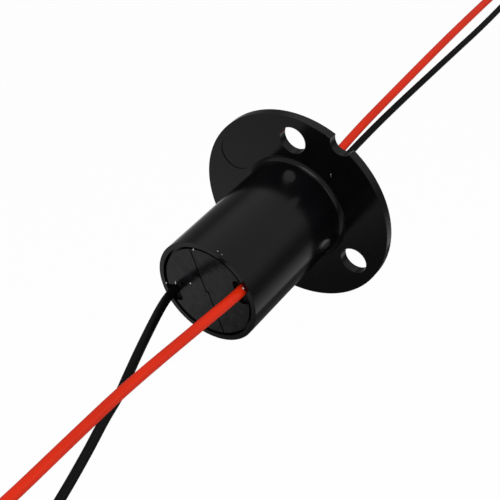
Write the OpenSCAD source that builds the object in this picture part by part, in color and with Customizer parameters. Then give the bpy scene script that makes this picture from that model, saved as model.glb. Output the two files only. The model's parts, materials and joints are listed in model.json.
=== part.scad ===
// Capsule slip ring for two circuits, mounted by a three-hole flange.
// The rotor turns about X. The flange's mounting face is the plane x = 0: the housing runs from
// it towards -X, and the rotor's boss and leads leave on the +X side. +Z is up.
// The rigid pieces are drawn along a local Z axis, and along_x() turns that axis onto X.

/* [Housing] */
// Outside diameter of the tubular body
body_d = 22.7; // [21.6:0.1:24]
// Length of the body from the mounting face to its open end
body_len = 31.3; // [30:0.1:40]
// Wall of the tubular body
body_wall = 1.05; // [0.8:0.05:1.2]
// Thickness of the web that closes the flange end of the body
web_t = 2; // [1.8:0.1:3]
// Radius of the fillet where the body meets the flange
root_fillet = 1.1; // [0.6:0.1:1.4]
// Chamfer at the open end of the body
mouth_chamfer = 0.1; // [0.05:0.05:0.35]

/* [Flange] */
// Diameter of the flange
flange_d = 44; // [43:0.5:48]
// Thickness of the flange
flange_t = 2; // [1.8:0.1:3]
// Edge rounding of the flange's rim
rim_round = 0.15; // [0.1:0.05:0.6]
// Number of mounting holes
hole_count = 3; // [3:1:4]
// Diameter of the mounting holes
hole_d = 6; // [4.5:0.1:6.2]
// Pitch circle of the mounting holes
hole_pcd = 33.4; // [33:0.1:35]
// Radius of the half-round notch in the rim
notch_r = 2.5; // [1.5:0.1:3]
// How far the notch's centre lies outside the rim
notch_offset = 0.4; // [0:0.1:1]
// Angle of the notch, from the top hole
notch_angle = 30; // [24:1:96]
// Diameter of the shallow round mark on the mounting face
mark_d = 7.6; // [6:0.1:9]
// Depth of the round mark
mark_depth = 0.15; // [0.1:0.05:0.3]
// Angle of the round mark, from the top hole
mark_angle = -58; // [-70:1:-50]
// Width of the small round pocket that the moulding gate was in
gate_d = 1.4; // [1.2:0.1:1.6]
// Depth of the gate's pocket
gate_depth = 0.4; // [0.4:0.05:0.5]
// Width of the tapered pip that the gate left in its pocket
gate_pip_d = 0.8; // [0.6:0.1:0.8]
// Distance of the gate's pocket from the axis
gate_at = 14.4; // [13.8:0.1:15]
// Angle of the gate's pocket from the top hole
gate_angle = 38; // [30:1:45]

/* [Bearings] */
// Bore of each ball bearing
bearing_bore = 6; // [5.8:0.1:6.2]
// Outside diameter of each ball bearing
bearing_od = 12; // [11.8:0.1:12.4]
// Width of each ball bearing
bearing_w = 3; // [2.6:0.1:3.2]
// Diameter of the balls
ball_d = 1.6; // [1.4:0.1:1.7]
// Number of balls in each bearing
ball_count = 7; // [6:1:8]
// Running clearance between the balls and their grooves
ball_gap = 0.02; // [0.01:0.01:0.05]
// Wall of the ball cage
cage_wall = 0.5; // [0.4:0.1:0.6]
// Clearance of each ball in its cage pocket
pocket_gap = 0.03; // [0.02:0.01:0.05]
// Height of the lip that stops the front bearing in the flange
lip_t = 0.6; // [0.5:0.1:0.8]
// How far the ball cages sit inside the bearing's side faces
cage_sink = 0.4; // [0.3:0.05:0.5]
// How far that lip reaches in over the outer race
lip_reach = 0.6; // [0.4:0.1:0.7]

/* [Rotor] */
// Wall of the rotor tube
tube_wall = 0.8; // [0.6:0.1:0.9]
// Outside diameter of the collector rings
ring_d = 9.5; // [9:0.1:10]
// Length of each collector ring along the axis
ring_len = 5; // [4.5:0.1:5.5]
// Depth of each brush groove in the collector rings
groove_depth = 0.35; // [0.3:0.05:0.5]
// How far the insulating spacers stand out past the collector rings
spacer_rim = 0.5; // [0.3:0.1:0.6]
// Length of the spacer between the two rings
middle_spacer_len = 3; // [2.5:0.1:4]
// Length of the spacer between the front bearing and the first ring
front_spacer_len = 5.4; // [4.5:0.1:6]
// Diameter of the rotor's boss
boss_d = 8.6; // [8.2:0.1:9.4]
// How far the boss stands out of the flange
boss_len = 3.5; // [2.5:0.1:5]
// Step behind the boss, and its gap to the flange
boss_step = 0.3; // [0.2:0.05:0.3]
// Depth of the tube's seat in the boss
boss_seat = 1.6; // [1.2:0.1:2]
// Outside diameter of the ring that holds the rear bearing
clip_d = 8.4; // [7.6:0.1:8.8]
// Thickness of the ring that holds the rear bearing
clip_t = 0.5; // [0.4:0.1:0.6]
// How far the tube reaches past that ring
clip_margin = 0.2; // [0.1:0.05:0.25]
// Chamfer on the boss's end
boss_chamfer = 0.5; // [0.2:0.1:0.8]
// Diameter of the posts that join the rings to their leads
terminal_d = 1; // [0.8:0.1:1.2]
// Radius where each terminal post ends inside the tube
terminal_end = 0.4; // [0.3:0.1:0.6]

/* [Brush shells] */
// Recess of the end disc below the body's open end
end_recess = 0.2; // [0.1:0.1:0.8]
// Thickness of the end disc
end_t = 1.6; // [1.4:0.1:2]
// Side wall of the half shells
shell_wall = 0.8; // [0.6:0.1:1]
// Clearance between the half shells and the body
shell_gap = 0.12; // [0.05:0.01:0.2]
// Clearance between the two half shells on their parting line
parting_gap = 0.12; // [0.05:0.01:0.2]
// Side step in the parting line at the middle of the end disc
parting_step = 0.5; // [0.3:0.1:0.8]
// Angle of the red half shell's middle, from the top hole
shell_angle = 72; // [60:1:84]
// Wall of the hub that holds the rear bearing
hub_wall = 1; // [0.8:0.1:1.2]
// Depth of the pocket behind the rear bearing
rear_pocket = 1; // [0.9:0.1:1.4]
// Depth of the space for the leads, behind the flat that carries each brush board
lead_space = 2.8; // [2.7:0.1:2.9]
// Width of the notch that the red lead leaves the end disc by
red_notch_w = 5.2; // [4.8:0.1:5.6]
// Width of the notch that the black lead leaves the end disc by
black_notch_w = 3.8; // [3.7:0.1:4.4]
// Corner rounding of both notches
notch_corner = 0.9; // [0.5:0.1:1.2]
// How far the notches stop short of the end disc's inner face
notch_floor = 0.3; // [0.2:0.1:0.4]
// Depth of the groove round the end disc, between it and the body
disc_step = 0.45; // [0.2:0.05:0.5]
// Length of that groove along the axis
disc_step_t = 0.8; // [0.6:0.1:1.2]
// Clearance between the half shells and the web at the flange end
shell_end_gap = 0.3; // [0.1:0.1:0.6]

/* [Brushes and leads] */
// Thickness of the brush boards
board_t = 0.8; // [0.6:0.1:1]
// Clearance between the long edges of the brush boards and the half shells
board_gap = 0.3; // [0.1:0.1:0.6]
// Length of the brush boards along the axis
board_len = 8; // [7:0.5:9]
// Diameter of the brush wires
brush_d = 0.4; // [0.3:0.05:0.5]
// Number of brush wire pairs on each ring
brush_pairs = 3; // [2:1:3]
// Running clearance between the brush wires and their ring
brush_gap = 0.02; // [0.01:0.01:0.05]
// How far the brush wires reach past the axis
brush_reach = 2.5; // [1.5:0.1:3]
// Diameter of the red stator lead
stator_red_d = 2.1; // [1.8:0.1:2.2]
// Diameter of the black stator lead
stator_black_d = 1.85; // [1.5:0.05:1.9]
// Diameter of the red rotor lead
rotor_red_d = 1.95; // [1.6:0.05:2]
// Diameter of the black rotor lead
rotor_black_d = 1.55; // [1.3:0.05:1.6]
// Width of the lead channels in the half shells
channel_w = 2.8; // [2.6:0.1:3]
// Thickness of the solder lugs
lug_t = 0.3; // [0.2:0.1:0.4]
// Width of the solder lugs
lug_w = 1.8; // [1.4:0.1:2.2]
// Length of the solder lugs
lug_len = 3.5; // [3:0.1:4]
// Height of the lug's wall that the lead's end meets
lug_h = 2; // [1.6:0.1:2.2]
// Thickness of that wall
lug_wall_t = 0.6; // [0.4:0.1:0.8]
// Distance from the ring's middle to that wall
lug_wall_at = 2.5; // [2.3:0.1:2.7]
// How far the lead grips sit below the end disc's face
grip_sink = 0.7; // [0.4:0.1:1]
// Clearance of the lead grips in their notches
grip_gap = 0.05; // [0.02:0.01:0.1]
// Clearance of the leads in their holes and ties
lead_play = 0.1; // [0.05:0.05:0.15]
// How far the potting sits below the boss's end
seal_sink = 0.3; // [0.1:0.1:0.6]
// Length of the bare tinned lead ends
tip_len = 6; // [4:0.5:8]
// Share of a lead's diameter that its conductor takes
tip_share = 0.55; // [0.4:0.05:0.7]
// Thickness of the ties
tie_t = 0.6; // [0.4:0.1:1]
// Width of the ties
tie_w = 2.5; // [2:0.1:4]

/* [Hidden] */
$fn = 64;

// Overshoot of a cut past the face that it opens
eps = 0.05;
// Radii and stations along the local axis, worked out from the sizes above
bore_r = body_d / 2 - body_wall;
shell_r = bore_r - shell_gap;
cavity_r = shell_r - shell_wall;
race_r = bearing_od / 2;
pitch_r = (bearing_bore + bearing_od) / 4;
groove_r = ball_d / 2 + ball_gap;
race_land = ball_d / 3;
tube_r = bearing_bore / 2;
tube_bore_r = tube_r - tube_wall;
front_z1 = flange_t - lip_t;
front_z0 = front_z1 - bearing_w;
end_z0 = end_recess - body_len;
end_z1 = end_z0 + end_t;
rear_z0 = end_z1 + rear_pocket;
rear_z1 = rear_z0 + bearing_w;
tube_z0 = rear_z0 - clip_t - clip_margin;
tube_z1 = front_z1 + boss_seat;
red_z1 = front_z0 - front_spacer_len;
red_z0 = red_z1 - ring_len;
black_z1 = red_z0 - middle_spacer_len;
black_z0 = black_z1 - ring_len;
red_mid = (red_z0 + red_z1) / 2;
black_mid = (black_z0 + black_z1) / 2;
boss_z1 = flange_t + boss_len;
shell_z1 = -web_t - shell_end_gap;
brush_pitch = ring_len / (brush_pairs + 1);
groove_floor_r = ring_d / 2 - groove_depth;
brush_side = groove_floor_r + brush_gap + brush_d / 2;
board_seat = shell_r - lead_space;
board_front = board_seat - board_t;
board_w = 2 * sqrt(pow(cavity_r, 2) - pow(board_seat, 2)) - 2 * board_gap;
spacer_r = ring_d / 2 + spacer_rim;
lead_hole_r = (rotor_red_d + rotor_black_d) / 2 + 2 * lead_play;

// Where the stator leads pass through their half shells: side offset and distance from the axis
red_side = 1.1;
red_out = board_seat + lug_t + stator_red_d / 2 + lead_play;
black_side = 0.4;
black_out = board_seat + lug_t + stator_black_d / 2 + lead_play;

// Side offset of the middle of each notch
red_notch_at = 0.75;
black_notch_at = 1.1;

// Where the rotor leads lie in the tube
rotor_red_y = 0.8;
rotor_black_y = -1.05;

// Routes of the leads in the model's own frame, from their solder joints to their coils
stator_red_route = [
    [-12, -8.06, 3.78], [-18, -8.06, 3.78], [-25, -8.06, 3.78], [-31, -8.06, 3.8],
    [-35, -7.95, 3.98], [-40, -7.63, 4.2], [-46, -7.2, 4.38], [-52, -6.79, 4.59],
    [-58, -6.42, 4.78], [-65, -6.1, 4.95], [-73, -5.92, 4.97], [-80, -5.88, 5.08],
    [-87, -6, 5.4], [-94, -6.2, 6], [-100, -6.4, 6.4]];
stator_black_route = [
    [-20, 8.16, -3.07], [-26, 8.16, -3.07], [-31, 8.14, -3.07], [-34.5, 7.6, -2.92],
    [-38, 6.6, -2.75], [-42, 5.32, -2.75], [-46, 4.08, -2.99], [-50, 2.85, -3.4],
    [-54, 1.62, -3.95], [-58, 0.5, -4.7], [-63, -0.2, -5.9], [-69, -1.05, -7.92],
    [-76, -1.95, -10], [-84, -2.9, -11.9], [-92, -3.7, -13.3], [-99, -4.1, -14]];
rotor_red_route = [
    [-9, 0.8, 0], [-3, 0.8, 0], [2, 0.8, 0], [6, 0.8, 0], [10, 0.8, 0.6], [15, 0.8, 1.5],
    [20, 0.75, 2.35], [30, 0.72, 3.35], [40, 0.65, 3.97], [50, 0.58, 4.48], [60, 0.5, 4.98],
    [70, 0.44, 5.37], [80, 0.36, 5.66], [92, 0.3, 5.8], [104, 0.25, 5.72], [116, 0.2, 5.45],
    [130, 0.2, 5.1]];
rotor_black_route = [
    [-17, -1.05, 0], [-10, -1.05, 0], [-3, -1.05, 0], [2, -1.05, 0], [6, -1.04, 0],
    [11, -1, 0.45], [16, -0.95, 0.95], [22, -0.86, 1.35], [34, -0.72, 1.57],
    [46, -0.78, 1.65], [60, -0.98, 1.64], [74, -1.17, 1.54], [88, -1.38, 1.5],
    [100, -1.45, 1.75], [112, -1.45, 2.3], [122, -1.45, 2.9], [131, -1.5, 3.3]];

// Coils of the put-away lead: middle, radius of the turns, first turn's Y, way along Y, turns
stator_coil_mid = [-104, 0, -4];
stator_red_coil = [10.5, -6.4, -1, 2.7];
stator_black_coil = [10.2, -4.3, 1, 2.7];
rotor_coil_mid = [135, 0, -5];
rotor_red_coil = [10, 0.2, 1, 1.9];
rotor_black_coil = [8.4, -1.5, -1, 2.3];

// Turns the local Z axis, which the rigid pieces are drawn along, onto X, and local Y onto Z
module along_x() {
    rotate([90, 0, 90]) children();
}

// A plain ring or disc between two stations on the axis
module ring_between(z0, z1, outer_r, inner_r = 0) {
    translate([0, 0, z0]) difference() {
        cylinder(h = z1 - z0, r = outer_r);
        if (inner_r > 0) translate([0, 0, -eps]) cylinder(h = z1 - z0 + 2 * eps, r = inner_r);
    }
}

// A straight hole along the axis between two stations
module bore(z0, z1, r) {
    translate([0, 0, z0]) cylinder(h = z1 - z0, r = r);
}

// ---- Housing ----

// Half section of the body, its root fillet, the web and the flange, as radius and station
module housing_section() {
    flange_r = flange_d / 2;
    body_r = body_d / 2;
    difference() {
        union() {
            translate([0, -body_len]) square([body_r, body_len + flange_t]);
            square([flange_r - rim_round, flange_t]);
            translate([0, rim_round]) square([flange_r, flange_t - 2 * rim_round]);
            translate([flange_r - rim_round, rim_round]) circle(r = rim_round);
            translate([flange_r - rim_round, flange_t - rim_round]) circle(r = rim_round);
            translate([body_r - eps, -root_fillet]) square([root_fillet + eps, root_fillet + eps]);
        }
        translate([body_r + root_fillet, -root_fillet]) circle(r = root_fillet);
        translate([0, -body_len - eps]) square([bore_r, body_len - web_t + eps]);
        translate([0, -web_t - eps]) square([race_r, front_z1 + web_t + eps]);
        square([race_r - lip_reach, flange_t + eps]);
        mouth_cut(bore_r, 1);
        mouth_cut(body_r, -1);
    }
}

// Small triangle that breaks an edge of the body's open end
module mouth_cut(r, way) {
    polygon([[r - way * eps, -body_len - eps], [r + way * mouth_chamfer, -body_len - eps],
        [r - way * eps, -body_len + mouth_chamfer]]);
}

module housing() {
    color([0.09, 0.09, 0.1]) along_x() {
        difference() {
            rotate_extrude($fn = 96) housing_section();
            for (i = [0 : hole_count - 1]) {
                rotate([0, 0, i * 360 / hole_count]) translate([0, hole_pcd / 2, 0])
                    bore(-eps, flange_t + eps, hole_d / 2);
            }
            rotate([0, 0, notch_angle]) translate([0, flange_d / 2 + notch_offset, 0])
                bore(-eps, flange_t + eps, notch_r);
            rotate([0, 0, mark_angle]) translate([0, hole_pcd / 2, 0])
                bore(-eps, mark_depth, mark_d / 2);
            rotate([0, 0, gate_angle]) translate([0, gate_at, 0])
                bore(-eps, gate_depth, gate_d / 2);
        }
        rotate([0, 0, gate_angle]) translate([0, gate_at, 0])
            cylinder(h = gate_depth + eps, r1 = gate_pip_d / 4, r2 = gate_pip_d / 2);
    }
}

// ---- Half shells and what they carry; local Y points to the middle of the half shell ----

// One side of the stepped parting line, with half of the parting gap taken off
module half_plane() {
    reach = body_d;
    half_gap = parting_gap / 2;
    half_step = parting_step / 2;
    polygon([[-reach, half_step + half_gap], [half_gap, half_step + half_gap],
        [half_gap, half_gap - half_step], [reach, half_gap - half_step], [reach, reach],
        [-reach, reach]]);
}

// Section of the space inside both half shells, flat where the boards lie
module cavity_section() {
    intersection() {
        circle(r = cavity_r);
        square([2 * cavity_r, 2 * board_seat], center = true);
    }
}

// The notch that a lead leaves the end disc by, open to the body's wall
module lead_notch(at, width, z0, z1, play = 0) {
    w = width - 2 * play;
    translate([at - w / 2, board_seat + play, z0]) difference() {
        cube([w, shell_r, z1 - z0]);
        for (x = [0, w]) corner_cut(x, w, z1 - z0);
    }
}

// Takes the square corner off one end of a lead notch
module corner_cut(x, w, h) {
    mid = x == 0 ? notch_corner : w - notch_corner;
    translate([0, 0, -eps]) difference() {
        translate([x == 0 ? -eps : w - notch_corner, -eps, 0])
            cube([notch_corner + eps, notch_corner + eps, h + 2 * eps]);
        translate([mid, notch_corner, -eps]) cylinder(h = h + 4 * eps, r = notch_corner);
    }
}

module brush_shell(side, notch_at, notch_w, mid) {
    difference() {
        union() {
            difference() {
                ring_between(end_z0, shell_z1, shell_r);
                translate([0, 0, end_z1]) linear_extrude(shell_z1 - end_z1 + eps) cavity_section();
            }
            ring_between(end_z1 - eps, rear_z1, race_r + hub_wall);
        }
        bore(rear_z0, rear_z1 + eps, race_r);
        bore(end_z1, rear_z0 + eps, race_r - lip_reach);
        lead_notch(notch_at, notch_w, end_z0 - eps, end_z1 - notch_floor);
        ring_between(end_z0 - eps, end_z0 + disc_step_t, body_d, shell_r - disc_step);
        translate([side - channel_w / 2, board_seat - eps, end_z1 - notch_floor - eps])
            cube([channel_w, shell_r, mid + lead_play + notch_floor - end_z1]);
        linear_extrude(4 * body_len, center = true) difference() {
            square(2 * body_d, center = true);
            half_plane();
        }
    }
}

module brush_board(mid) {
    translate([0, board_front, mid]) difference() {
        translate([-board_w / 2, 0, -board_len / 2]) cube([board_w, board_t, board_len]);
        for (x = [-brush_side, brush_side], i = [1 : brush_pairs]) {
            translate([x, -eps, i * brush_pitch - ring_len / 2]) rotate([-90, 0, 0])
                cylinder(h = board_t + 2 * eps, r = brush_d / 2, $fn = 16);
        }
    }
}

module brush_wires(mid) {
    for (x = [-brush_side, brush_side], i = [1 : brush_pairs]) {
        translate([x, -brush_reach, mid + i * brush_pitch - ring_len / 2]) rotate([-90, 0, 0])
            cylinder(h = board_seat + brush_reach, r = brush_d / 2, $fn = 16);
    }
}

// Plate on the back of the board, with the wall that the lead's end is soldered to
module solder_lug(side, mid) {
    translate([side - lug_w / 2, board_seat, mid - lug_len]) cube([lug_w, lug_t, lug_len]);
    translate([side - lug_w / 2, board_seat, mid - lug_wall_at])
        cube([lug_w, lug_h, lug_wall_t]);
}

// Grip in the notch of the end disc, with a round hole for its lead
module lead_grip(side, out, lead_d, notch_at, notch_w) {
    difference() {
        intersection() {
            lead_notch(notch_at, notch_w, end_z0 + grip_sink, end_z1 - notch_floor, grip_gap);
            ring_between(end_z0, end_z1, shell_r);
        }
        translate([side, out, 0]) bore(end_z0, end_z1 + eps, lead_d / 2 + lead_play);
    }
}

module brush_shell_red() {
    color([0.1, 0.1, 0.11]) along_x() rotate([0, 0, shell_angle])
        brush_shell(red_side, red_notch_at, red_notch_w, red_mid);
}

module brush_shell_black() {
    color([0.1, 0.1, 0.11]) along_x() rotate([0, 0, shell_angle + 180])
        brush_shell(black_side, black_notch_at, black_notch_w, black_mid);
}

module brush_board_red() {
    color([0.1, 0.35, 0.2]) along_x() rotate([0, 0, shell_angle]) brush_board(red_mid);
}

module brush_board_black() {
    color([0.1, 0.35, 0.2]) along_x() rotate([0, 0, shell_angle + 180]) brush_board(black_mid);
}

module brush_wires_red() {
    color([0.85, 0.7, 0.35]) along_x() rotate([0, 0, shell_angle]) brush_wires(red_mid);
}

module brush_wires_black() {
    color([0.85, 0.7, 0.35]) along_x() rotate([0, 0, shell_angle + 180]) brush_wires(black_mid);
}

module solder_lug_red() {
    color([0.75, 0.75, 0.72]) along_x() rotate([0, 0, shell_angle]) solder_lug(red_side, red_mid);
}

module solder_lug_black() {
    color([0.75, 0.75, 0.72]) along_x() rotate([0, 0, shell_angle + 180])
        solder_lug(black_side, black_mid);
}

module lead_grip_red() {
    color([0.05, 0.05, 0.06]) along_x() rotate([0, 0, shell_angle])
        lead_grip(red_side, red_out, stator_red_d, red_notch_at, red_notch_w);
}

module lead_grip_black() {
    color([0.05, 0.05, 0.06]) along_x() rotate([0, 0, shell_angle + 180])
        lead_grip(black_side, black_out, stator_black_d, black_notch_at, black_notch_w);
}

// ---- Ball bearings, drawn at a station; the cages and balls about their own middle ----

module outer_race(z0) {
    rotate_extrude($fn = 96) difference() {
        translate([pitch_r + race_land, z0]) square([race_r - pitch_r - race_land, bearing_w]);
        translate([pitch_r, z0 + bearing_w / 2]) circle(r = groove_r);
    }
}

module inner_race(z0) {
    rotate_extrude($fn = 96) difference() {
        translate([tube_r, z0]) square([pitch_r - race_land - tube_r, bearing_w]);
        translate([pitch_r, z0 + bearing_w / 2]) circle(r = groove_r);
    }
}

module cage() {
    half_w = bearing_w / 2 - cage_sink;
    difference() {
        ring_between(-half_w, half_w, pitch_r + cage_wall / 2, pitch_r - cage_wall / 2);
        for (i = [0 : ball_count - 1]) {
            rotate([0, 0, i * 360 / ball_count]) translate([0, pitch_r - cage_wall, 0])
                rotate([-90, 0, 0]) cylinder(h = 2 * cage_wall, r = ball_d / 2 + pocket_gap);
        }
    }
}

module ball_row() {
    for (i = [0 : ball_count - 1]) {
        rotate([0, 0, i * 360 / ball_count]) translate([0, pitch_r, 0])
            sphere(r = ball_d / 2, $fn = 24);
    }
}

module front_outer_race() {
    color("silver") along_x() outer_race(front_z0);
}

module rear_outer_race() {
    color("silver") along_x() outer_race(rear_z0);
}

module front_inner_race() {
    color("silver") along_x() inner_race(front_z0);
}

module rear_inner_race() {
    color("silver") along_x() inner_race(rear_z0);
}

module front_cage() {
    color([0.8, 0.65, 0.3]) translate([front_z0 + bearing_w / 2, 0, 0]) along_x() cage();
}

module rear_cage() {
    color([0.8, 0.65, 0.3]) translate([rear_z0 + bearing_w / 2, 0, 0]) along_x() cage();
}

module front_balls() {
    color("white") translate([front_z0 + bearing_w / 2, 0, 0]) along_x() ball_row();
}

module rear_balls() {
    color("white") translate([rear_z0 + bearing_w / 2, 0, 0]) along_x() ball_row();
}

// ---- Rotor ----

// Round hole through one side of the tube for a terminal post
module terminal_hole(mid, way) {
    translate([0, 0, mid]) rotate([0, 90 * way, 0]) cylinder(h = 2 * tube_r, r = terminal_d / 2);
}

module rotor_tube() {
    color([0.8, 0.7, 0.4]) along_x() difference() {
        ring_between(tube_z0, tube_z1, tube_r, tube_bore_r);
        terminal_hole(red_mid, 1);
        terminal_hole(black_mid, -1);
    }
}

module rotor_boss() {
    color([0.1, 0.1, 0.11]) along_x() difference() {
        union() {
            ring_between(front_z1, boss_z1 - boss_chamfer, boss_d / 2 - boss_step);
            ring_between(flange_t + boss_step, boss_z1 - boss_chamfer, boss_d / 2);
            translate([0, 0, boss_z1 - boss_chamfer])
                cylinder(h = boss_chamfer, r1 = boss_d / 2, r2 = boss_d / 2 - boss_chamfer);
        }
        bore(front_z1 - eps, tube_z1, tube_r);
        bore(tube_z1 - eps, boss_z1 + eps, lead_hole_r);
    }
}

module collector_ring(z0) {
    rotate_extrude($fn = 96) difference() {
        translate([tube_r, z0]) square([ring_d / 2 - tube_r, ring_len]);
        for (i = [1 : brush_pairs]) {
            translate([groove_floor_r + groove_depth, z0 + i * brush_pitch])
                circle(r = groove_depth);
        }
    }
}

module terminal(mid, way) {
    intersection() {
        translate([0, 0, mid]) rotate([0, 90 * way, 0]) translate([0, 0, terminal_end])
            cylinder(h = tube_r - terminal_end + eps, r = terminal_d / 2);
        ring_between(mid - terminal_d, mid + terminal_d, tube_r);
    }
}

module ring_red() {
    color([0.85, 0.65, 0.3]) along_x() collector_ring(red_z0);
}

module ring_black() {
    color([0.85, 0.65, 0.3]) along_x() collector_ring(black_z0);
}

module spacer_front() {
    color([0.85, 0.83, 0.75]) along_x() spacer(red_z1, front_z0);
}

module spacer_middle() {
    color([0.85, 0.83, 0.75]) along_x() ring_between(black_z1, red_z0, spacer_r, tube_r);
}

module spacer_rear() {
    color([0.85, 0.83, 0.75]) along_x() mirror([0, 0, 1]) spacer(-black_z0, -rear_z1);
}

// Spacer with a flange beside its ring and a slim end that clears the bearing's outer race
module spacer(z0, z1) {
    neck_r = pitch_r - race_land;
    ring_between(z0, z0 + (z1 - z0) / 2, spacer_r, tube_r);
    ring_between(z0 + (z1 - z0) / 2, z1, neck_r, tube_r);
}

module terminal_red() {
    color([0.72, 0.45, 0.2]) along_x() terminal(red_mid, 1);
}

module terminal_black() {
    color([0.72, 0.45, 0.2]) along_x() terminal(black_mid, -1);
}

module retaining_ring() {
    color([0.3, 0.3, 0.32]) along_x() ring_between(rear_z0 - clip_t, rear_z0, clip_d / 2, tube_r);
}

module rotor_seal() {
    color([0.08, 0.08, 0.08]) along_x() difference() {
        ring_between(tube_z1, boss_z1 - seal_sink, lead_hole_r);
        translate([rotor_red_y, 0, 0]) bore(tube_z1 - eps, boss_z1, rotor_red_d / 2);
        translate([rotor_black_y, 0, 0]) bore(tube_z1 - eps, boss_z1, rotor_black_d / 2);
    }
}

// ---- Leads, drawn straight in the model's own frame ----

function unit(v) = v / norm(v);
function heading(route, i) = unit(route[min(i + 1, len(route) - 1)] - route[max(i - 1, 0)]);
function side_of(t) = unit(cross([0, 0, 1], t));
function rim_point(p, t, r, a) = p + r * (cos(a) * side_of(t) + sin(a) * cross(t, side_of(t)));

// One tube swept along a route, with eight sides and a ring of points at each of its points
module lead_tube(route, d) {
    sides = 8;
    count = len(route);
    points = [for (i = [0 : count - 1], k = [0 : sides - 1])
        rim_point(route[i], heading(route, i), d / 2, k * 360 / sides)];
    walls = [for (i = [0 : count - 2], k = [0 : sides - 1])
        [i * sides + k, (i + 1) * sides + k, (i + 1) * sides + (k + 1) % sides,
            i * sides + (k + 1) % sides]];
    start = [[for (k = [0 : sides - 1]) k]];
    finish = [[for (k = [sides - 1 : -1 : 0]) (count - 1) * sides + k]];
    polyhedron(points, concat(start, walls, finish), convexity = 6);
}

// Closed solid of a coil: its turns lie side by side along Y
module coil(mid, form, d) {
    run = form[3] * d;
    y_low = form[2] > 0 ? form[1] : form[1] - run;
    translate([mid[0], y_low, mid[2]]) rotate([-90, 0, 0]) rotate_extrude($fn = 72) {
        translate([form[0] - d / 2, 0]) square([d, run]);
        translate([form[0], 0]) circle(r = d / 2);
        translate([form[0], run]) circle(r = d / 2);
    }
}

// Bare end of a lead, straight on from where its coil ends; top is 1 where the coil starts above
module lead_tip(mid, form, d, way, top) {
    turned = form[3] * 360;
    at = [mid[0] + way * form[0] * sin(turned), form[1] + form[2] * form[3] * d,
        mid[2] + top * form[0] * cos(turned)];
    pitch_angle = atan2(-top * sin(turned), way * cos(turned));
    translate(at) rotate([0, 90 - pitch_angle, 0]) cylinder(h = tip_len, r = d * tip_share / 2);
}

// Tie that wraps both coils where they are furthest from the ring
module tie(mid, way, r0, r1, y0, y1) {
    x0 = way > 0 ? mid[0] + r0 : mid[0] - r1;
    translate([x0 - tie_t, y0 - tie_t, mid[2] - tie_w / 2]) difference() {
        cube([r1 - r0 + 2 * tie_t, y1 - y0 + 2 * tie_t, tie_w]);
        translate([tie_t, tie_t, -eps]) cube([r1 - r0, y1 - y0, tie_w + 2 * eps]);
    }
}

module stator_lead_red() {
    color([0.85, 0.05, 0.03]) lead_tube(stator_red_route, stator_red_d);
}

module stator_lead_black() {
    color([0.05, 0.05, 0.05]) lead_tube(stator_black_route, stator_black_d);
}

module rotor_lead_red() {
    color([0.85, 0.05, 0.03]) lead_tube(rotor_red_route, rotor_red_d);
}

module rotor_lead_black() {
    color([0.05, 0.05, 0.05]) lead_tube(rotor_black_route, rotor_black_d);
}

module stator_coil_red() {
    color([0.85, 0.05, 0.03]) coil(stator_coil_mid, stator_red_coil, stator_red_d);
}

module stator_coil_black() {
    color([0.05, 0.05, 0.05]) coil(stator_coil_mid, stator_black_coil, stator_black_d);
}

module rotor_coil_red() {
    color([0.85, 0.05, 0.03]) coil(rotor_coil_mid, rotor_red_coil, rotor_red_d);
}

module rotor_coil_black() {
    color([0.05, 0.05, 0.05]) coil(rotor_coil_mid, rotor_black_coil, rotor_black_d);
}

module stator_tip_red() {
    color("silver") lead_tip(stator_coil_mid, stator_red_coil, stator_red_d, -1, 1);
}

module stator_tip_black() {
    color("silver") lead_tip(stator_coil_mid, stator_black_coil, stator_black_d, -1, -1);
}

module rotor_tip_red() {
    color("silver") lead_tip(rotor_coil_mid, rotor_red_coil, rotor_red_d, 1, 1);
}

module rotor_tip_black() {
    color("silver") lead_tip(rotor_coil_mid, rotor_black_coil, rotor_black_d, 1, 1);
}

module stator_tie() {
    red = stator_red_coil;
    black = stator_black_coil;
    color([0.1, 0.1, 0.1]) tie(stator_coil_mid, -1, black[0] - stator_black_d / 2 - lead_play,
        red[0] + stator_red_d / 2 + lead_play,
        red[1] - (red[3] + 0.5) * stator_red_d - lead_play,
        black[1] + (black[3] + 0.5) * stator_black_d + lead_play);
}

module rotor_tie() {
    red = rotor_red_coil;
    black = rotor_black_coil;
    color([0.1, 0.1, 0.1]) tie(rotor_coil_mid, 1, black[0] - rotor_black_d / 2 - lead_play,
        red[0] + rotor_red_d / 2 + lead_play,
        black[1] - (black[3] + 0.5) * rotor_black_d - lead_play,
        red[1] + (red[3] + 0.5) * rotor_red_d + lead_play);
}

// ---- One line for each node ----

housing();
brush_shell_red();
brush_shell_black();
brush_board_red();
brush_board_black();
brush_wires_red();
brush_wires_black();
solder_lug_red();
solder_lug_black();
lead_grip_red();
lead_grip_black();
front_outer_race();
rear_outer_race();
stator_lead_red();
stator_lead_black();
stator_coil_red();
stator_coil_black();
stator_tip_red();
stator_tip_black();
stator_tie();
rotor_tube();
rotor_boss();
ring_red();
ring_black();
spacer_front();
spacer_middle();
spacer_rear();
front_inner_race();
rear_inner_race();
retaining_ring();
terminal_red();
terminal_black();
rotor_seal();
rotor_lead_red();
rotor_lead_black();
rotor_coil_red();
rotor_coil_black();
rotor_tip_red();
rotor_tip_black();
rotor_tie();
front_cage();
front_balls();
rear_cage();
rear_balls();
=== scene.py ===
import json
import math
from collections import namedtuple

import bmesh
import bpy
from mathutils import Matrix, Vector, noise


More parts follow.
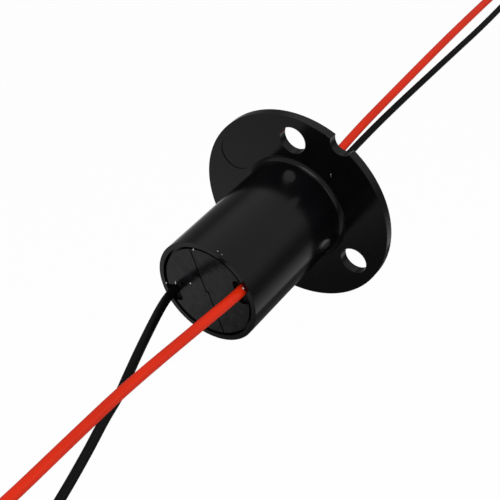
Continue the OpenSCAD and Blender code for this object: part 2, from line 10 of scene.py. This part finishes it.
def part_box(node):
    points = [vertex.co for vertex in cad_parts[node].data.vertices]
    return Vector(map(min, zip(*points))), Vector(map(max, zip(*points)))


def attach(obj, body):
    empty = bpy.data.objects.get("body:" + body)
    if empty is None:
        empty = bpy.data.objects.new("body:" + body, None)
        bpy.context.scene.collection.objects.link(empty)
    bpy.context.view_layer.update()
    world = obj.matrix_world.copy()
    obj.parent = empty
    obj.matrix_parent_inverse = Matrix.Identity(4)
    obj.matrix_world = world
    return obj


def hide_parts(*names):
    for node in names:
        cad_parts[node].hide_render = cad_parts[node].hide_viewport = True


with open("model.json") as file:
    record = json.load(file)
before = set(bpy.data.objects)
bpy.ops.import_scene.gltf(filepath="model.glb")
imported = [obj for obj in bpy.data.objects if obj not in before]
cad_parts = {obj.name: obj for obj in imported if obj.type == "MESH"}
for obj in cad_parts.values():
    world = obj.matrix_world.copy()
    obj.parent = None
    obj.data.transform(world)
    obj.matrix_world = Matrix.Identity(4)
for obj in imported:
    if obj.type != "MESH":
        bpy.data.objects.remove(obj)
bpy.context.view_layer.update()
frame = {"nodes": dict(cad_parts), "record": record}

MM = 0.001


def link(obj):
    bpy.context.scene.collection.objects.link(obj)
    return obj


# ---------------------------------------------------------------- camera
# Its place in metres, the way it looks, and its lens and sensor in millimetres
CAMERA_AT = (-0.14931, -0.09723, 0.13432)
CAMERA_LOOKS = (0.6253, 0.4576, -0.6321)
CAMERA_ROLL = math.radians(-3.32)
LENS = 76.52
SENSOR = 36.0
CLIP_NEAR = 0.005
CLIP_FAR = 20.0


def make_camera():
    data = bpy.data.cameras.new("camera")
    data.sensor_fit = "HORIZONTAL"
    data.sensor_width = SENSOR
    data.lens = LENS
    data.clip_start = CLIP_NEAR
    data.clip_end = CLIP_FAR
    cam = link(bpy.data.objects.new("camera", data))
    turn = Vector(CAMERA_LOOKS).to_track_quat("-Z", "Y").to_matrix().to_4x4()
    roll = Matrix.Rotation(CAMERA_ROLL, 4, "Z")
    cam.matrix_world = Matrix.Translation(CAMERA_AT) @ turn @ roll
    bpy.context.scene.camera = cam


make_camera()

# ---------------------------------------------------------------- materials
# Depths of a surface's grain, in metres
METAL_GRAIN = 0.000006
FINE_GRAIN = 0.00001
COARSE_GRAIN = 0.00002


class Mat:
    """One procedural material: a shader and the nodes that feed it."""

    def __init__(self, name):
        self.name = name
        self.m = bpy.data.materials.new(name)
        self.m.use_nodes = True
        self.t = self.m.node_tree
        self.t.nodes.clear()
        self.out = self.t.nodes.new("ShaderNodeOutputMaterial")
        self.b = self.t.nodes.new("ShaderNodeBsdfPrincipled")
        self.link(self.b.outputs[0], self.out.inputs[0])
        self.co = self.t.nodes.new("ShaderNodeTexCoord").outputs["Object"]

    def link(self, a, b):
        self.t.links.new(a, b)

    def set(self, **values):
        for key, value in values.items():
            self.b.inputs[key.replace("_", " ")].default_value = value
        return self

    def stretch(self, scale):
        node = self.t.nodes.new("ShaderNodeMapping")
        node.inputs["Scale"].default_value = scale
        self.link(self.co, node.inputs["Vector"])
        return node.outputs[0]

    def noise(self, scale, detail=3.0, rough=0.55, stretch=None):
        node = self.t.nodes.new("ShaderNodeTexNoise")
        node.inputs["Scale"].default_value = scale
        node.inputs["Detail"].default_value = detail
        node.inputs["Roughness"].default_value = rough
        self.link(self.stretch(stretch) if stretch else self.co, node.inputs["Vector"])
        return node.outputs["Fac"]

    def ramp(self, fac, *stops):
        node = self.t.nodes.new("ShaderNodeValToRGB")
        ramp = node.color_ramp
        while len(ramp.elements) < len(stops):
            ramp.elements.new(0.5)
        for element, (at, colour) in zip(ramp.elements, stops):
            element.position = at
            element.color = (*colour, 1.0)
        self.link(fac, node.inputs["Fac"])
        return node.outputs["Color"]

    def span(self, fac, low, high):
        node = self.t.nodes.new("ShaderNodeMapRange")
        node.inputs["To Min"].default_value = low
        node.inputs["To Max"].default_value = high
        self.link(fac, node.inputs["Value"])
        return node.outputs["Result"]

    def colour(self, fac, *stops):
        self.link(self.ramp(fac, *stops), self.b.inputs["Base Color"])
        return self

    def rough(self, fac, low, high):
        self.link(self.span(fac, low, high), self.b.inputs["Roughness"])
        return self

    def bump(self, fac, strength, depth):
        node = self.t.nodes.new("ShaderNodeBump")
        node.inputs["Strength"].default_value = strength
        node.inputs["Distance"].default_value = depth
        self.link(fac, node.inputs["Height"])
        self.link(node.outputs[0], self.b.inputs["Normal"])
        return self


def around(colour, low, high):
    """Two shades of one colour, as the ends of a ramp."""
    return (0.3, tuple(c * low for c in colour)), (0.7, tuple(c * high for c in colour))


def moulded(name, colour, rough, spec, grain=FINE_GRAIN, patches=(180.0, 0.8, 1.2)):
    """Moulded or poured material in patches: their scale, and their darkest and palest shade."""
    scale, low, high = patches
    m = Mat(name).set(Specular_IOR_Level=spec)
    m.colour(m.noise(scale, detail=5.0), *around(colour, low, high))
    m.rough(m.noise(scale=420.0), rough * 0.85, rough * 1.2)
    return m.bump(m.noise(scale=5200.0, detail=2.0), strength=0.35, depth=grain)


def metal(name, colour, rough, lay=(1.0, 1.0, 1.0)):
    """Metal with fine streaks, drawn out along an axis where its lay is below 1."""
    m = Mat(name).set(Metallic=1.0)
    m.colour(m.noise(scale=300.0), *around(colour, 0.88, 1.06))
    streaks = m.noise(scale=2600.0, rough=0.6, stretch=lay)
    m.rough(streaks, rough * 0.7, rough * 1.4)
    return m.bump(streaks, strength=0.4, depth=METAL_GRAIN)


def insulation(name, colour, rough, spec):
    """Lead insulation, whose shades and grain are drawn out along X as the leads are."""
    m = Mat(name).set(Specular_IOR_Level=spec)
    shades = m.noise(scale=260.0, rough=0.5, stretch=(0.3, 1.0, 1.0))
    m.colour(shades, *around(colour, 0.9, 1.08))
    m.rough(m.noise(scale=700.0, detail=2.0), rough * 0.85, rough * 1.2)
    ripples = m.noise(scale=2400.0, detail=2.0, rough=0.5, stretch=(0.15, 1.0, 1.0))
    return m.bump(ripples, strength=0.3, depth=COARSE_GRAIN)


def board_material():
    """Green board with paler lines across it."""
    m = Mat("circuit_board").set(Specular_IOR_Level=0.45)
    tracks = m.t.nodes.new("ShaderNodeTexBrick")
    tracks.inputs["Scale"].default_value = 420.0
    tracks.inputs["Mortar Size"].default_value = 0.12
    tracks.inputs["Color1"].default_value = (0.012, 0.09, 0.03, 1.0)
    tracks.inputs["Color2"].default_value = (0.010, 0.075, 0.026, 1.0)
    tracks.inputs["Mortar"].default_value = (0.03, 0.17, 0.06, 1.0)
    m.link(m.co, tracks.inputs["Vector"])
    m.link(tracks.outputs["Color"], m.b.inputs["Base Color"])
    m.rough(m.noise(scale=900.0), 0.3, 0.45)
    return m.bump(m.noise(scale=4000.0), strength=0.3, depth=FINE_GRAIN)


MATERIALS = {made.name: made for made in (
    moulded("housing_plastic", (0.0021, 0.0022, 0.0026), 0.16, 0.15),
    moulded("shell_plastic", (0.0046, 0.0047, 0.0054), 0.19, 0.13, patches=(700.0, 0.15, 2.2)),
    moulded("boss_plastic", (0.006, 0.006, 0.0066), 0.32, 0.35),
    board_material(),
    metal("gold_wire", (0.86, 0.62, 0.26), 0.22),
    metal("tinned_copper", (0.78, 0.77, 0.74), 0.32, (0.3, 1.0, 1.0)),
    moulded("grip_rubber", (0.003, 0.003, 0.0033), 0.6, 0.15, COARSE_GRAIN),
    metal("bearing_steel", (0.66, 0.67, 0.69), 0.14),
    metal("cage_brass", (0.72, 0.53, 0.24), 0.3),
    metal("tube_brass", (0.74, 0.56, 0.27), 0.26, (0.2, 1.0, 1.0)),
    metal("ring_brass", (0.84, 0.62, 0.26), 0.16),
    moulded("insulator", (0.62, 0.58, 0.47), 0.5, 0.4),
    metal("clip_steel", (0.22, 0.22, 0.23), 0.4),
    metal("copper_post", (0.72, 0.36, 0.2), 0.3),
    moulded("potting", (0.004, 0.004, 0.004), 0.16, 0.4),
    insulation("red_insulation", (0.6, 0.02, 0.003), 0.34, 0.12),
    insulation("black_insulation", (0.0022, 0.0022, 0.0024), 0.36, 0.06),
    moulded("joint_glue", (0.0012, 0.0012, 0.0013), 0.8, 0.0),
    moulded("clear_glue", (0.52, 0.53, 0.55), 0.18, 0.5, patches=(3000.0, 0.6, 1.3)),
    moulded("torn_plastic", (0.3, 0.3, 0.32), 0.5, 0.3, COARSE_GRAIN,
            patches=(5000.0, 0.4, 1.5)),
    moulded("tie_plastic", (0.006, 0.006, 0.0065), 0.4, 0.35),
)}

SLOT_OF = {part["node"]: part["material_slot"] for part in frame["record"]["subparts"]}

for node_name, node_object in frame["nodes"].items():
    node_object.data.materials.clear()
    node_object.data.materials.append(MATERIALS[SLOT_OF[node_name]].m)

# ---------------------------------------------------------------- cords
# The routes, coils and ties of the part's source, in millimetres
ROUTES = {
    "stator_red": [
        (-12, -8.06, 3.78), (-18, -8.06, 3.78), (-25, -8.06, 3.78), (-31, -8.06, 3.8),
        (-35, -7.95, 3.98), (-40, -7.63, 4.2), (-46, -7.2, 4.38), (-52, -6.79, 4.59),
        (-58, -6.42, 4.78), (-65, -6.1, 4.95), (-73, -5.92, 4.97), (-80, -5.88, 5.08),
        (-87, -6, 5.4), (-94, -6.2, 6), (-100, -6.4, 6.4)],
    "stator_black": [
        (-20, 8.16, -3.07), (-26, 8.16, -3.07), (-31, 8.14, -3.07), (-34.5, 7.6, -2.92),
        (-38, 6.6, -2.75), (-42, 5.32, -2.75), (-46, 4.08, -2.99), (-50, 2.85, -3.4),
        (-54, 1.62, -3.95), (-58, 0.5, -4.7), (-63, -0.2, -5.9), (-69, -1.05, -7.92),
        (-76, -1.95, -10), (-84, -2.9, -11.9), (-92, -3.7, -13.3), (-99, -4.1, -14)],
    "rotor_red": [
        (-9, 0.8, 0), (-3, 0.8, 0), (2, 0.8, 0), (6, 0.8, 0), (10, 0.8, 0.6), (15, 0.8, 1.5),
        (20, 0.75, 2.35), (30, 0.72, 3.35), (40, 0.65, 3.97), (50, 0.58, 4.48), (60, 0.5, 4.98),
        (70, 0.44, 5.37), (80, 0.36, 5.66), (92, 0.3, 5.8), (104, 0.25, 5.72), (116, 0.2, 5.45),
        (130, 0.2, 5.1)],
    "rotor_black": [
        (-17, -1.05, 0), (-10, -1.05, 0), (-3, -1.05, 0), (2, -1.05, 0), (6, -1.04, 0),
        (11, -1, 0.45), (16, -0.95, 0.95), (22, -0.86, 1.35), (34, -0.72, 1.57),
        (46, -0.78, 1.65), (60, -0.98, 1.64), (74, -1.17, 1.54), (88, -1.38, 1.5),
        (100, -1.45, 1.75), (112, -1.45, 2.3), (122, -1.45, 2.9), (131, -1.5, 3.3)],
}
COIL_MID = {"stator": (-104, 0, -4), "rotor": (135, 0, -5)}
# A lead's diameter and its coil: radius, Y of the first turn, way along Y, number of turns,
# way round, and the top (1) or the bottom (-1) as the place where it starts
Lead = namedtuple("Lead", "diameter radius first along turns way start")
LEADS = {
    "stator_red": Lead(2.1, 10.5, -6.4, -1, 2.7, -1, 1),
    "stator_black": Lead(1.85, 10.2, -4.3, 1, 2.7, -1, -1),
    "rotor_red": Lead(1.95, 10.0, 0.2, 1, 1.9, 1, 1),
    "rotor_black": Lead(1.55, 8.4, -1.5, -1, 2.3, 1, 1),
}
# The face of the end disc, in millimetres
DISC_X = round(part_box("brush_shell_red")[0][0] / MM, 3)
STEPS_A_TURN = 48
ROUTE_STEPS = 5
LEAD_ROUNDNESS = 5
# Bare ends: length, share of the lead's diameter, strands round the middle one, turns of
# their twist, length of every second strand, and radius against that of touching strands
TIP_LENGTH = 6.0
TIP_SHARE = 0.55
OUTER_STRANDS = 6
TIP_TWIST = 0.5
SHORT_STRAND = 0.97
STRAND_FILL = 0.99
TIP_STEPS = 12
STRAND_SIDES = 8
# A small angle back along the coil, which gives the way that its end looks
LOOK_BACK = 0.02
# Ties: play round the leads, strap and its bevel, corner radius of its middle line, the
# head's half size along X, Y, Z, its rounding, and the rim and depth of its recess
PLAY = 0.1
TIE_WALL = 0.6
TIE_WIDTH = 2.5
TIE_BEVEL = 0.12
TIE_CORNER = 1.2
CORNER_STEPS = 6
TIE_HEAD = (1.6, 1.2, 1.7)
HEAD_ROUND = 0.2
RECESS_RIM = 0.5
RECESS_DEPTH = 0.7


def coil_point(name, angle):
    """The point of a lead's coil at that angle from its start."""
    lead = LEADS[name]
    mid = COIL_MID[name.split("_")[0]]
    return Vector((
        mid[0] + lead.way * lead.radius * math.sin(angle),
        lead.first + lead.along * lead.diameter * angle / math.tau,
        mid[2] + lead.start * lead.radius * math.cos(angle)))


def smooth(points, parts):
    """The points with a smooth curve through them, each stretch in that many parts."""
    out = []
    for i in range(len(points) - 1):
        a, b = points[i], points[i + 1]
        before = points[i - 1] if i else a * 2 - b
        after = points[i + 2] if i + 2 < len(points) else b * 2 - a
        for k in range(parts):
            t = k / parts
            out.append(0.5 * (2 * a + (b - before) * t
                              + (2 * before - 5 * a + 4 * b - after) * t ** 2
                              + (3 * a - before - 3 * b + after) * t ** 3))
    return out + [points[-1]]


def lead_line(name):
    """The middle line of a lead: its route, smoothed on into its coil."""
    turns = LEADS[name].turns
    count = round(turns * STEPS_A_TURN)
    route = [Vector(p) for p in ROUTES[name]]
    start = [coil_point(name, 0.0)]
    coil = [coil_point(name, turns * math.tau * i / count) for i in range(1, count + 1)]
    smoothed = smooth(route + start + coil[:1], ROUTE_STEPS)
    return smoothed[:-ROUTE_STEPS - 1] + start + coil


def curve(name, line, radius, material):
    """A round cord along a line."""
    data = bpy.data.curves.new(name, "CURVE")
    data.dimensions = "3D"
    data.bevel_depth = radius * MM
    data.bevel_resolution = LEAD_ROUNDNESS
    data.use_fill_caps = True
    spline = data.splines.new("POLY")
    spline.points.add(len(line) - 1)
    for point, at in zip(spline.points, line):
        point.co = (*(at * MM), 1.0)
    spline.use_smooth = True
    obj = link(bpy.data.objects.new(name, data))
    data.materials.append(MATERIALS[material].m)
    return obj


def mesh(name, verts, faces, material, smooth_faces=True):
    """An object from lists of vertices and faces."""
    data = bpy.data.meshes.new(name)
    data.from_pydata([tuple(v) for v in verts], [], faces)
    data.update()
    data.materials.append(MATERIALS[material].m)
    data.polygons.foreach_set("use_smooth", [smooth_faces] * len(faces))
    return link(bpy.data.objects.new(name, data))


def form_mesh(name, form, material):
    """An object from a worked form, which is used up."""
    data = bpy.data.meshes.new(name)
    form.to_mesh(data)
    form.free()
    data.materials.append(MATERIALS[material].m)
    return link(bpy.data.objects.new(name, data))


def tube_mesh(line, radius, sides, verts, faces):
    """Adds a closed tube along a line to a mesh's lists."""
    base = len(verts)
    for i, at in enumerate(line):
        way = (line[min(i + 1, len(line) - 1)] - line[max(i - 1, 0)]).normalized()
        steep = abs(way.z) > 0.9
        side = way.cross(Vector((0, 1, 0)) if steep else Vector((0, 0, 1))).normalized()
        over = side.cross(way)
        for k in range(sides):
            a = math.tau * k / sides
            verts.append((at + radius * (math.cos(a) * side + math.sin(a) * over)) * MM)
    for i in range(len(line) - 1):
        for k in range(sides):
            n = (k + 1) % sides
            faces.append((base + i * sides + k, base + i * sides + n,
                          base + (i + 1) * sides + n, base + (i + 1) * sides + k))
    faces.append(tuple(base + k for k in reversed(range(sides))))
    last = base + (len(line) - 1) * sides
    faces.append(tuple(last + k for k in range(sides)))


def bare_end(name):
    """Twisted strands, tinned, that stand out of the lead's end, the last of them in the middle."""
    last = LEADS[name].turns * math.tau
    end = coil_point(name, last)
    way = end - coil_point(name, last - LOOK_BACK)
    way.y = 0
    way.normalize()
    side = Vector((0, 1, 0))
    over = way.cross(side)
    # Three strands lie side by side across the tip
    strand = LEADS[name].diameter * TIP_SHARE / 3 / 2
    verts, faces = [], []
    for s in range(OUTER_STRANDS + 1):
        out = 0.0 if s == OUTER_STRANDS else strand * 2
        reach = TIP_LENGTH * (SHORT_STRAND if s % 2 else 1.0)
        line = []
        for i in range(TIP_STEPS + 1):
            t = i / TIP_STEPS
            a = math.tau * (s / OUTER_STRANDS + TIP_TWIST * t)
            line.append(end + way * (reach * t) + out * (math.cos(a) * side + math.sin(a) * over))
        tube_mesh(line, strand * STRAND_FILL, STRAND_SIDES, verts, faces)
    piece = mesh(name + "_strands", verts, faces, "tinned_copper")
    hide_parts(name.replace("_", "_tip_"))
    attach(piece, name.split("_")[0])
    return piece


def tie_spans(body):
    """The tie's outside, from and to along X and along Y."""
    red, black = LEADS[body + "_red"], LEADS[body + "_black"]
    near = black.radius - black.diameter / 2 - PLAY - TIE_WALL
    far = red.radius + red.diameter / 2 + PLAY + TIE_WALL
    ends = [lead.first + lead.along * (lead.turns + 0.5) * lead.diameter for lead in (red, black)]
    mid = COIL_MID[body][0]
    across = (mid - far, mid - near) if body == "stator" else (mid + near, mid + far)
    return across, (min(ends) - PLAY - TIE_WALL, max(ends) + PLAY + TIE_WALL)


def tie_head(form, at):
    """The head of a cable tie, with the recess that its strap leaves by."""
    made = bmesh.ops.create_cube(form, size=2.0)
    for vert in made["verts"]:
        vert.co = (Vector(at) + Vector(c * h for c, h in zip(vert.co, TIE_HEAD))) * MM
    faces = {face for vert in made["verts"] for face in vert.link_faces}
    outer = min(faces, key=lambda face: face.calc_center_median().y)
    bmesh.ops.inset_region(form, faces=[outer], thickness=RECESS_RIM * MM)
    for vert in outer.verts:
        vert.co.y += RECESS_DEPTH * MM
    edges = {edge for face in faces for edge in face.edges}
    bmesh.ops.bevel(form, geom=list(edges), offset=HEAD_ROUND * MM, segments=2, affect="EDGES")


def cable_tie(body):
    """A strap with rounded corners round both coils, and its head at one end."""
    (x0, x1), (y0, y1) = tie_spans(body)
    z = COIL_MID[body][2]
    inset = TIE_WALL / 2 + TIE_CORNER
    corners = [(x1 - inset, y1 - inset), (x0 + inset, y1 - inset),
               (x0 + inset, y0 + inset), (x1 - inset, y0 + inset)]
    thick, wide = TIE_WALL / 2, TIE_WIDTH / 2
    quarter_section = [(thick, wide - TIE_BEVEL), (thick - TIE_BEVEL, wide)]
    half_section = quarter_section + [(-t, w) for t, w in reversed(quarter_section)]
    section = half_section + [(-t, -w) for t, w in half_section]
    form = bmesh.new()
    rings = []
    for quarter, (x, y) in enumerate(corners):
        for i in range(CORNER_STEPS + 1):
            a = math.pi / 2 * (quarter + i / CORNER_STEPS)
            out = Vector((math.cos(a), math.sin(a), 0))
            middle = Vector((x, y, z))
            ring = [middle + out * (TIE_CORNER + t) + Vector((0, 0, w)) for t, w in section]
            rings.append([form.verts.new(at * MM) for at in ring])
    for here, after in zip(rings, rings[1:] + rings[:1]):
        for k in range(len(section)):
            n = (k + 1) % len(section)
            form.faces.new((here[k], after[k], after[n], here[n]))
    tie_head(form, ((x0 + x1) / 2, y0 - TIE_HEAD[1] + TIE_WALL / 2, z))
    bmesh.ops.recalc_face_normals(form, faces=form.faces)
    piece = form_mesh(body + "_cable_tie", form, "tie_plastic")
    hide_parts(body + "_tie")
    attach(piece, body)
    return piece


for name, lead in LEADS.items():
    body, hue = name.split("_")
    line = lead_line(name)
    cord = curve(name + "_lead", line, lead.diameter / 2, hue + "_insulation")
    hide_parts(f"{body}_lead_{hue}", f"{body}_coil_{hue}")
    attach(cord, body)
    parts = [bare_end(name)]
    if hue == "red":
        parts.append(cable_tie(body))

# ---------------------------------------------------------------- small marks
# The angle and step of the end disc's parting line, from the part's source
SHELL_ANGLE = math.radians(72)
PARTING_STEP = 0.5
# The bead of glue in that line: its reach from the middle, its width and its height
LINE_REACH = 9.65
LINE_WIDTH = 0.28
LINE_HEIGHT = 0.015
# Clear glue that was left by the leads and the joint: middle and half size along X, Y, Z
GLUE = (
    ((DISC_X, 2.36, 9.42), (0.1, 0.15, 0.24)),
    ((DISC_X, 7.72, -1.25), (0.14, 0.12, 0.36)),
    ((DISC_X, 3.93, 0.35), (0.12, 0.19, 0.19)),
    ((DISC_X, -8.72, 4.86), (0.2, 0.22, 0.22)),
    ((-31.2, 10.05, -2.24), (0.12, 0.14, 0.14)),
)
# Crumbs of flash on the edge of the body's mouth, and the torn gate in its pocket
CRUMBS = (
    ((-30.59, -2.98, 10.93), (0.15, 0.1, 0.09)),
    ((-30.67, -3.97, 10.61), (0.11, 0.1, 0.09)),
)
GATE_TEAR = (((0.1, -8.88, 11.36), (0.1, 0.15, 0.38)),)
# How far a drop is from round, and how close its dents are
LUMP = 0.28
LUMP_SCALE = 1.6


def lumps(name, places, material):
    """Small uneven drops in one mesh."""
    form = bmesh.new()
    for i, (at, size) in enumerate(places):
        place = Matrix.Translation(Vector(at) * MM)
        shape = place @ Matrix.Diagonal((*(Vector(size) * MM), 1.0))
        made = bmesh.ops.create_icosphere(form, subdivisions=3, radius=1.0)
        for vert in made["verts"]:
            dent = noise.noise(vert.co * LUMP_SCALE + Vector((i, 0, 0)))
            vert.co = shape @ (vert.co * (1.0 + LUMP * dent))
    for face in form.faces:
        face.smooth = True
    piece = form_mesh(name, form, material)
    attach(piece, "stator")


def joint_line():
    """Low bead of glue in the parting line of the two half shells."""
    along = Vector((0, math.cos(SHELL_ANGLE), math.sin(SHELL_ANGLE)))
    across = Vector((0, -along.z, along.y))
    half = PARTING_STEP / 2
    # Each stop: place along the line, place across it, and which way the bead widens there
    stops = [(-LINE_REACH, half, (0, 1)), (0.0, half, (1, 1)), (0.0, -half, (1, 1)),
             (LINE_REACH, -half, (0, 1))]
    # The bead's cut, in half widths and heights, the low points sunk into the disc
    section = [(-1.0, -1.0), (-1.0, 0.2), (-0.6, 0.8), (0.0, 1.0),
               (0.6, 0.8), (1.0, 0.2), (1.0, -1.0)]
    count = len(section)
    verts, faces = [], []
    for a, b, side in stops:
        for wide, high in section:
            off = wide * LINE_WIDTH / 2
            at = along * (a + side[0] * off) + across * (b + side[1] * off)
            verts.append((at + Vector((DISC_X - high * LINE_HEIGHT, 0, 0))) * MM)
    last = (len(stops) - 1) * count
    for here in range(0, last, count):
        for k in range(count):
            n = (k + 1) % count
            faces.append((here + k, here + n, here + count + n, here + count + k))
    faces.append(tuple(reversed(range(count))))
    faces.append(tuple(last + k for k in range(count)))
    piece = mesh("joint_line", verts, faces, "joint_glue", smooth_faces=False)
    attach(piece, "stator")


lumps("glue_drops", GLUE, "clear_glue")
lumps("flash_crumbs", CRUMBS, "torn_plastic")
lumps("gate_tear", GATE_TEAR, "torn_plastic")
joint_line()

# ---------------------------------------------------------------- stage and light
# The floor, in metres
FLOOR_Z = -0.26
FLOOR_HALF = 4.0
FLOOR_GREY = (0.95, 0.95, 0.95, 1.0)
WHITE = (1.0, 1.0, 1.0, 1.0)
# The rays that see the background, the share of the matt floor with its shadows that they
# see, and the world's level for all other rays
DIRECT_RAYS = ("Is Camera Ray", "Is Glossy Ray", "Is Transmission Ray")
SHADOW_SHARE = 0.06
WORLD_LEVEL = 0.62
# Painted shadow that shiny surfaces find on the floor under the object: its middle, its half
# lengths, the span of its edge in shares of those, and its level
PAINTED_SHADOW_AT = (-0.05, 0.0, FLOOR_Z)
PAINTED_SHADOW_HALF = (0.42, 0.21, 1.0)
PAINTED_SHADOW_EDGE = (0.86, 1.02)
PAINTED_SHADOW_LEVEL = 0.05
# Shiny surfaces see a studio that is bright on one side and overhead. The floor's glow is painted
# dimmer between two distances, and the walls dim as their direction turns away from the bright side
BRIGHT_SIDE = (-0.35, -0.25, 0.9)
PAINTED_DIMMING_SPAN = (0.25, 0.9)
WALL_SPAN = (-0.15, 0.3)
DIM_LEVEL = 0.2
# Square lamps that look at the object: place, side and power
LAMPS = {
    "key": ((-0.35, -0.1, 0.75), 0.5, 3.0),
    "fill": ((0.1, -0.7, 0.35), 0.5, 1.2),
}


def number(tree, kind, a, b):
    """One number worked out from two."""
    node = tree.nodes.new("ShaderNodeMath")
    node.operation = kind
    tree.links.new(a, node.inputs[0])
    tree.links.new(b, node.inputs[1])
    return node.outputs[0]


def vector(tree, kind, a, b, output="Vector"):
    """A vector or number worked out from a vector and a fixed one."""
    node = tree.nodes.new("ShaderNodeVectorMath")
    node.operation = kind
    tree.links.new(a, node.inputs[0])
    node.inputs[1].default_value = b
    return node.outputs[output]


def vector_length(tree, a):
    node = tree.nodes.new("ShaderNodeVectorMath")
    node.operation = "LENGTH"
    tree.links.new(a, node.inputs[0])
    return node.outputs["Value"]


def map_range(tree, value, from_span, to_span, kind="LINEAR"):
    """A number moved from one span to another, and kept inside it."""
    node = tree.nodes.new("ShaderNodeMapRange")
    node.interpolation_type = kind
    node.inputs["From Min"].default_value, node.inputs["From Max"].default_value = from_span
    node.inputs["To Min"].default_value, node.inputs["To Max"].default_value = to_span
    tree.links.new(value, node.inputs["Value"])
    return node.outputs["Result"]


def rays(tree, *kinds):
    """1 for the named kinds of ray, and 0 for the rest."""
    path = tree.nodes.new("ShaderNodeLightPath")
    total = path.outputs[kinds[0]]
    for kind in kinds[1:]:
        total = number(tree, "MAXIMUM", total, path.outputs[kind])
    return total


def glossy_only(tree, level):
    """The level for glossy rays, and 1 for the rest."""
    node = tree.nodes.new("ShaderNodeMix")
    node.inputs["A"].default_value = 1.0
    tree.links.new(rays(tree, "Is Glossy Ray"), node.inputs["Factor"])
    tree.links.new(level, node.inputs["B"])
    return node.outputs["Result"]


def painted_floor_shade(tree):
    """Floor glow for shiny surfaces: a painted shadow under the object and painted dimming far off.
    """
    place = tree.nodes.new("ShaderNodeNewGeometry").outputs["Position"]
    place = vector(tree, "SUBTRACT", place, PAINTED_SHADOW_AT)
    share = vector(tree, "DIVIDE", place, PAINTED_SHADOW_HALF)
    edge = vector_length(tree, share)
    # Painted shadow under the object, times a painted dimming of the glow far from it
    shade = map_range(tree, edge, PAINTED_SHADOW_EDGE, (PAINTED_SHADOW_LEVEL, 1.0), "SMOOTHSTEP")
    painted_dimming = map_range(tree, vector_length(tree, place), PAINTED_DIMMING_SPAN, (1.0, DIM_LEVEL))
    return number(tree, "MULTIPLY", shade, painted_dimming)


def wall_level(tree):
    """How bright a shiny surface sees the studio in each direction."""
    way = tree.nodes.new("ShaderNodeTexCoord").outputs["Generated"]
    facing = vector(tree, "DOT_PRODUCT", way, BRIGHT_SIDE, "Value")
    return map_range(tree, facing, WALL_SPAN, (DIM_LEVEL, 1.0), "SMOOTHSTEP")


def floor_material():
    """Pale matt floor that glows evenly for a camera, and for shiny surfaces with painted shade."""
    m = bpy.data.materials.new("floor_pale")
    m.use_nodes = True
    t = m.node_tree
    t.nodes.clear()
    out = t.nodes.new("ShaderNodeOutputMaterial")
    matt = t.nodes.new("ShaderNodeBsdfDiffuse")
    matt.inputs["Color"].default_value = FLOOR_GREY
    glow = t.nodes.new("ShaderNodeEmission")
    glow.inputs["Color"].default_value = WHITE
    # The glow that shiny surfaces see carries the painted shadow and the painted dimming
    t.links.new(glossy_only(t, painted_floor_shade(t)), glow.inputs["Strength"])
    mix = t.nodes.new("ShaderNodeMixShader")
    share = map_range(t, rays(t, *DIRECT_RAYS), (0.0, 1.0), (0.0, 1.0 - SHADOW_SHARE))
    t.links.new(share, mix.inputs[0])
    t.links.new(matt.outputs[0], mix.inputs[1])
    t.links.new(glow.outputs[0], mix.inputs[2])
    t.links.new(mix.outputs[0], out.inputs[0])
    return m


def make_floor():
    data = bpy.data.meshes.new("floor")
    signs = [(-1, -1), (1, -1), (1, 1), (-1, 1)]
    corners = [(x * FLOOR_HALF, y * FLOOR_HALF, FLOOR_Z) for x, y in signs]
    data.from_pydata(corners, [], [(0, 1, 2, 3)])
    data.materials.append(floor_material())
    floor = link(bpy.data.objects.new("floor", data))


def make_world():
    """White for a camera, wall_level for shiny surfaces, and WORLD_LEVEL for other rays."""
    world = bpy.data.worlds.new("studio")
    bpy.context.scene.world = world
    world.use_nodes = True
    t = world.node_tree
    t.nodes.clear()
    out = t.nodes.new("ShaderNodeOutputWorld")
    glow = t.nodes.new("ShaderNodeBackground")
    glow.inputs["Color"].default_value = WHITE
    plain = map_range(t, rays(t, *DIRECT_RAYS), (0.0, 1.0), (WORLD_LEVEL, 1.0))
    strength = number(t, "MULTIPLY", plain, glossy_only(t, wall_level(t)))
    t.links.new(strength, glow.inputs["Strength"])
    t.links.new(glow.outputs[0], out.inputs["Surface"])


def make_lamp(name, at, side, power):
    data = bpy.data.lights.new(name, "AREA")
    data.shape = "SQUARE"
    data.size = side
    data.energy = power
    lamp = link(bpy.data.objects.new(name, data))
    lamp.location = at
    lamp.rotation_euler = (-Vector(at)).to_track_quat("-Z", "Y").to_euler()


make_floor()
make_world()
for lamp_name, settings in LAMPS.items():
    make_lamp(lamp_name, *settings)

bpy.context.scene.view_settings.view_transform = "Standard"
